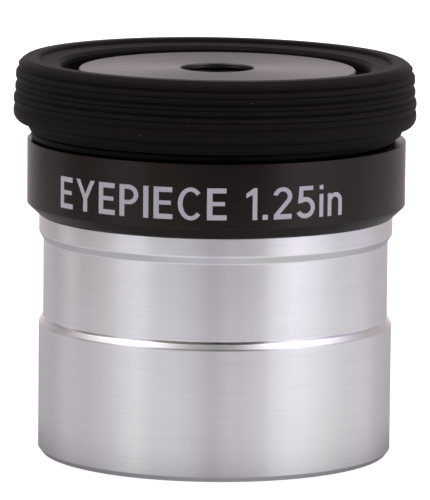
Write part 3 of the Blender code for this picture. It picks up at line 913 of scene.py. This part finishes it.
cell_outline = rounded([
    (CELL_BORE, CELL_LOW, 0.05),
    (CELL_R, CELL_LOW, 0.08),
    (CELL_R, COLLAR_LOW, 0.02),
    (COLLAR_R, COLLAR_LOW, 0.08),
    (COLLAR_R, COLLAR_TOP, 0.08),
    (CELL_R, COLLAR_TOP, 0.04),
    (CELL_R, 33.25, 0.06),
    (5.00, 33.25, 0.02),
    (5.00, CELL_TOP, 0.05),
    (EYE_BORE, CELL_TOP, 0.03),
    (EYE_BORE, 25.56, 0.03),
    (CELL_BORE, 25.56, 0.02),
])
place(ring_mesh("lens_tube", cell_outline, [CELL], segments=CELL_SEGMENTS),
      "lens_group", "lens_cell")

# ---------------------------------------------------------------------- lenses
LENS_ZONES = 24              # rings of faces from the axis to the rim
FLINT_CENTRE = 1.00          # thickness of a flint on the axis
SPACER_R, SPACER_BORE = 4.31, 3.90

_, eye_flint_low, eye_flint_top = size_of("eye_flint")
lens_radius, eye_crown_low, eye_crown_top = size_of("eye_crown")
_, field_crown_low, field_crown_top = size_of("field_crown")
_, field_flint_low, _ = size_of("field_flint")
_, spacer_low, spacer_top = size_of("lens_spacer")

cement_top = eye_flint_top - FLINT_CENTRE
cement_sag = cement_top - eye_flint_low
# the crown's sag where the spacer touches it gives its curve, and so its whole sag
touch_sag = spacer_top + 0.05 - eye_crown_low
crown_curve = (SPACER_BORE ** 2 + touch_sag ** 2) / (2.0 * touch_sag)
crown_sag = crown_curve - math.sqrt(crown_curve ** 2 - lens_radius ** 2)
field_cement = field_flint_low + FLINT_CENTRE


def lens_face(radius, centre, rim):
    """Points of a spherical or flat face, from the axis to the rim."""
    drop = centre - rim
    radii = [radius * i / LENS_ZONES for i in range(LENS_ZONES + 1)]
    if abs(drop) < 1e-6:
        return [(r, centre) for r in radii]
    curve = (radius ** 2 + drop ** 2) / (2.0 * abs(drop))
    sign = 1.0 if drop > 0 else -1.0
    return [(r, centre - sign * (curve - math.sqrt(curve ** 2 - r ** 2))) for r in radii]


def lens(node, top, bottom, glass):
    """Lens between two faces; each face is (centre z, rim z)."""
    radius = size_of(node)[0]
    outline = lens_face(radius, *top) + lens_face(radius, *bottom)[::-1]
    obj = ring_mesh("lens_" + node, outline, [glass, GROUND], segments=CELL_SEGMENTS,
                    slot_of=lambda r, z: 1 if r > radius - 1e-4 else 0)
    place(obj, "lens_group", node)


lens("eye_flint", top=(eye_flint_top, eye_flint_top),
     bottom=(cement_top, cement_top - cement_sag), glass=FLINT)
lens("eye_crown", top=(eye_crown_top, eye_crown_top - cement_sag),
     bottom=(eye_crown_low, eye_crown_low + crown_sag), glass=CROWN)
lens("field_crown", top=(field_crown_top, field_crown_top - crown_sag),
     bottom=(field_crown_low, field_crown_low + cement_sag), glass=CROWN)
lens("field_flint", top=(field_cement, field_cement + cement_sag),
     bottom=(field_flint_low, field_flint_low), glass=FLINT)

spacer_outline = rounded([
    (SPACER_BORE, spacer_low, 0.03),
    (SPACER_R, spacer_low, 0.03),
    (SPACER_R, spacer_top, 0.03),
    (SPACER_BORE, spacer_top, 0.03),
])
place(ring_mesh("lens_spacer_ring", spacer_outline, [BRASS], segments=CELL_SEGMENTS),
      "lens_group", "lens_spacer")

# -------------------------------------------------------------- retaining ring
RETAINER_R, RETAINER_LOW, RETAINER_TOP = size_of("retaining_ring")
RETAINER_BORE, RETAINER_NOSE_R = 3.70, 4.25
RETAINER_SHOULDER = 25.50
SLOT_LENGTH, SLOT_WIDTH, SLOT_DEPTH = 3.0, 1.0, 0.5

retainer_outline = rounded([
    (RETAINER_BORE, RETAINER_LOW, 0.06),
    (RETAINER_R, RETAINER_LOW, 0.08),
    (RETAINER_R, RETAINER_SHOULDER, 0.04),
    (RETAINER_NOSE_R, RETAINER_SHOULDER, 0.02),
    (RETAINER_NOSE_R, RETAINER_TOP, 0.03),
    (RETAINER_BORE, RETAINER_TOP, 0.03),
])


def slot_tool(x):
    """Block that cuts one slot, centred at x on the ring's lower face."""
    bm = bmesh.new()
    bmesh.ops.create_cube(bm, size=1.0)
    bmesh.ops.scale(bm, vec=Vector((SLOT_LENGTH, SLOT_WIDTH, 2.0 * SLOT_DEPTH)) * MM,
                    verts=bm.verts[:])
    bmesh.ops.translate(bm, vec=Vector((x, 0.0, RETAINER_LOW)) * MM, verts=bm.verts[:])
    mesh = bpy.data.meshes.new("slot_tool")
    bm.to_mesh(mesh)
    bm.free()
    mesh.materials.append(CELL)
    tool = bpy.data.objects.new("slot_tool", mesh)
    bpy.context.scene.collection.objects.link(tool)
    return tool


def slotted(obj):
    """Cut two spanner slots across the lower face, and keep the plain mesh."""
    for sign in (-1.0, 1.0):
        tool = slot_tool(sign * (RETAINER_BORE + RETAINER_R) / 2.0)
        cut = obj.modifiers.new("slot", 'BOOLEAN')
        cut.operation = 'DIFFERENCE'
        cut.solver = 'EXACT'
        cut.object = tool
        bpy.context.view_layer.update()
        graph = bpy.context.evaluated_depsgraph_get()
        mesh = bpy.data.meshes.new_from_object(obj.evaluated_get(graph))
        obj.modifiers.clear()
        obj.data = mesh
        bpy.data.objects.remove(tool, do_unlink=True)
    obj.data.shade_smooth()
    obj.data.set_sharp_from_angle(angle=math.radians(SHARP))
    return obj


place(slotted(ring_mesh("retaining_ring_slotted", retainer_outline, [CELL],
                        segments=CELL_SEGMENTS)),
      "lens_group", "retaining_ring")

# ------------------------------------------------------------------ field stop
STOP_R, STOP_LOW, STOP_TOP = size_of("field_stop")
STOP_MID = (STOP_LOW + STOP_TOP) / 2.0
STOP_BORE, STOP_BEVEL_R = 3.25, 4.10   # thin inner edge, and where its bevels start

stop_outline = rounded([
    (STOP_BORE, STOP_MID - 0.05, 0.01),
    (STOP_BEVEL_R, STOP_LOW, 0.04),
    (STOP_R, STOP_LOW, 0.05),
    (STOP_R, STOP_TOP, 0.05),
    (STOP_BEVEL_R, STOP_TOP, 0.04),
    (STOP_BORE, STOP_MID + 0.05, 0.01),
])
place(ring_mesh("field_stop_ring", stop_outline, [CELL], segments=CELL_SEGMENTS),
      "lens_group", "field_stop")

# -------------------------------------------------------------- light profiles
# Levels round the object, as (azimuth in degrees, level).  Azimuth 0 is the
# camera's side and + is to its right.
LIGHT_SCALE = 2.0        # ramps hold the level divided by this
TABLE_PROFILE = (        # painted light of the white table close to the object, as if lit by two tall soft boxes
    (-180, .46), (-140, .55), (-100, .76), (-74, .80), (-63, .86), (-53, 1.10), (-45, .98),
    (-24, 1.10), (-11, .98), (-3, .84), (3, .85), (9, 1.07), (12, .98), (24, 1.02), (33, 1.03),
    (36, 1.16), (54, 1.06), (82, 1.00), (114, .85), (137, .60), (160, .50), (180, .46))
ROOM_PROFILE = (         # soft boxes, dark camera side, white backdrop
    (-180, 1.00), (-150, .50), (-128, .32), (-112, .52), (-98, .20), (-80, .28), (-62, .74),
    (-50, .64), (-38, .22), (-20, .13), (0, .03), (20, .03), (33, .12), (37, .64),
    (55, 1.12), (68, .86), (88, .48), (104, .52), (130, .46), (155, .50), (180, 1.00))
TOP_PROFILE = (          # soft ceiling, brighter over the two soft boxes
    (-180, .70), (-125, .85), (-92, 1.60), (-62, 1.95), (-42, 1.40), (-26, .74), (0, .62),
    (24, .74), (38, 1.50), (60, 1.95), (92, 1.65), (125, .85), (180, .70))
TOP_EDGE = (             # where the ceiling starts: twice the sine of its elevation
    (-180, .90), (-60, .84), (-34, 1.56), (34, 1.56), (60, .84), (180, .90))
# Where the light is cool (1) and where it is warm (0).
TABLE_COOL = (
    (-180, 0.0), (-84, 0.0), (-72, 1.0), (-24, 1.0), (-12, 0.0), (30, 0.0), (36, 1.0),
    (98, 1.0), (116, 0.0), (180, 0.0))
ROOM_COOL = (
    (-180, 0.48), (-128, 0.44), (-100, 0.20), (-74, 0.0), (-64, 1.0), (-50, 1.0), (-42, 0.0),
    (32, 0.0), (38, 1.0), (106, 1.0), (120, 0.30), (136, 0.44), (180, 0.48))


def profile(n, azimuth, stops):
    """Level from azimuth (radians) through a soft ramp."""
    turn = n.affine(azimuth, gain=1.0 / (2.0 * math.pi), add=0.5)
    ramp = n.ramp(turn, [((degrees + 180.0) / 360.0, level / LIGHT_SCALE)
                         for degrees, level in stops], mode='EASE')
    return n.times(ramp, by=LIGHT_SCALE)


def room_tint(n, azimuth):
    return n.mix(profile(n, azimuth, ROOM_COOL), (1.0, 0.905, 0.78), (1.02, 0.905, 1.13))


# ----------------------------------------------------------------------- floor
def table_level(n, azimuth, away):
    """Painted brightness of the table as the object sees it: painted light and a painted
    contact shadow.
    """
    level = n.plus(n.times(profile(n, azimuth, TABLE_PROFILE), by=n.minus(1.0, away)),
                   n.times(profile(n, azimuth, ROOM_PROFILE), by=away))
    # painted light: paler with distance, most of all in a sector on the camera's side
    aside = n.math('ABSOLUTE', n.plus(azimuth, math.radians(9.0)))
    front = n.minus(1.0, n.smooth(aside, low=math.radians(34.0), high=math.radians(44.0)))
    near_dim = n.affine(n.smooth(n.radius, low=50.0, high=110.0),
                        gain=n.affine(front, gain=0.095, add=0.145),
                        add=n.affine(front, gain=0.035, add=0.855))
    level = n.times(level, by=near_dim)
    # painted contact shadow: darker close to the barrel's foot
    contact = n.affine(n.smooth(n.radius, low=15.5, high=28.0), gain=0.48, add=0.52)
    return n.times(level, by=contact)


def table_tint(n, azimuth, away):
    """Painted colour of the table's light as the object sees it."""
    cool = n.mix(profile(n, azimuth, ROOM_COOL), (0.957, 0.970, 1.033), (0.915, 0.970, 0.915))
    paper = n.mix(profile(n, azimuth, TABLE_COOL), (1.022, 0.970, 1.045), cool)
    return n.mix(away, paper, room_tint(n, azimuth))


def floor_material():
    """White table.  The camera sees clean white with a faint contact shadow;
    the object sees a glowing table instead: painted light of lit paper near it and a painted
    reflection of the room far off."""
    n = material_nodes("white_table")
    seen = n.new("LightPath").outputs["Is Camera Ray"]
    incoming = n.new("SeparateXYZ", {0: n.new("NewGeometry").outputs["Incoming"]}).outputs
    azimuth = n.math('ARCTAN2', n.times(incoming[0], by=-1.0), incoming[1])
    away = n.smooth(n.radius, low=130.0, high=158.0)
    grain = n.affine(n.noise(scale=0.02), gain=0.04, add=0.98)
    # painted light: for the object's rays the table glows with these levels instead of being
    # lit
    lit = n.new("Emission", {"Color": table_tint(n, azimuth, away),
                             "Strength": n.times(table_level(n, azimuth, away), by=grain)})
    diffuse = n.new("BsdfDiffuse", {"Color": (0.8, 0.8, 0.8, 1.0)})
    boost = n.new("Emission", {"Color": (1.0, 1.0, 1.0, 1.0), "Strength": 0.70})
    bright = n.new("AddShader", {0: diffuse.outputs[0], 1: boost.outputs[0]})
    table = n.mix_shader(seen, lit.outputs[0], bright.outputs[0])
    # a camera below the table looks through it at the object's underside
    below = n.times(seen, by=n.new("NewGeometry").outputs["Backfacing"])
    clear = n.new("BsdfTransparent", {"Color": (1.0, 1.0, 1.0, 1.0)})
    return n.surface(n.mix_shader(below, table, clear.outputs[0]))


FLOOR_SIZE = 3.0             # metres, as create_grid takes it
FLOOR_DROP = 0.00002         # metres below the barrel's foot

bm = bmesh.new()
bmesh.ops.create_grid(bm, x_segments=8, y_segments=8, size=FLOOR_SIZE)
floor_mesh = bpy.data.meshes.new("floor")
bm.to_mesh(floor_mesh)
bm.free()
floor = bpy.data.objects.new("floor", floor_mesh)
floor.location = (0.0, 0.0, -FLOOR_DROP)
bpy.context.scene.collection.objects.link(floor)
floor_mesh.materials.append(floor_material())


# ----------------------------------------------------------------------- world
def studio_world():
    """Two tall soft boxes beside the camera, a white backdrop, a soft top."""
    world = bpy.data.worlds.new("studio")
    bpy.context.scene.world = world
    n = Nodes(world, output="OutputWorld")
    direction = n.new("TexCoord").outputs["Generated"]
    x, y, z = n.new("SeparateXYZ", {0: direction}).outputs
    azimuth = n.math('ARCTAN2', x, n.times(y, by=-1.0))
    height = n.math('ARCSINE', n.math('MAXIMUM', n.math('MINIMUM', z, 1.0), -1.0))
    edge = n.math('ARCSINE', n.times(profile(n, azimuth, TOP_EDGE), by=0.5))
    up = n.smooth(height, low=edge, high=n.plus(edge, math.radians(14.0)))
    level = n.plus(n.times(profile(n, azimuth, ROOM_PROFILE), by=n.minus(1.0, up)),
                   n.times(up, by=profile(n, azimuth, TOP_PROFILE)))
    tint = n.mix(up, room_tint(n, azimuth), (1.0, 0.970, 1.030))
    light = n.new("VectorMath", {0: tint, "Scale": level}, operation='SCALE').outputs[0]
    seen = n.new("LightPath").outputs["Is Camera Ray"]
    soft = n.new("Background", {"Color": light, "Strength": 1.0})
    white = n.new("Background", {"Color": (1.0, 1.0, 1.0, 1.0), "Strength": 1.05})
    n.surface(n.mix_shader(seen, soft.outputs[0], white.outputs[0]))


studio_world()

# ---------------------------------------------------------------------- camera
CAMERA_PLACE = (-0.00005, -0.516, 0.09833)     # metres
CAMERA_DOWN = 8.83           # degrees it looks below the horizontal
CAMERA_ROLL = 0.55           # degrees

camera_data = bpy.data.cameras.new("camera")
camera_data.sensor_width = 36.0
camera_data.lens = 418.8
camera_data.clip_start = 0.01
camera_data.clip_end = 20.0
camera = bpy.data.objects.new("camera", camera_data)
bpy.context.scene.collection.objects.link(camera)
camera.matrix_world = (Matrix.Translation(CAMERA_PLACE)
                       @ Matrix.Rotation(math.radians(90.0 - CAMERA_DOWN), 4, 'X')
                       @ Matrix.Rotation(math.radians(CAMERA_ROLL), 4, 'Z'))
bpy.context.scene.camera = camera
bpy.context.scene.view_settings.view_transform = 'Standard'
bpy.context.scene.view_settings.look = 'None'
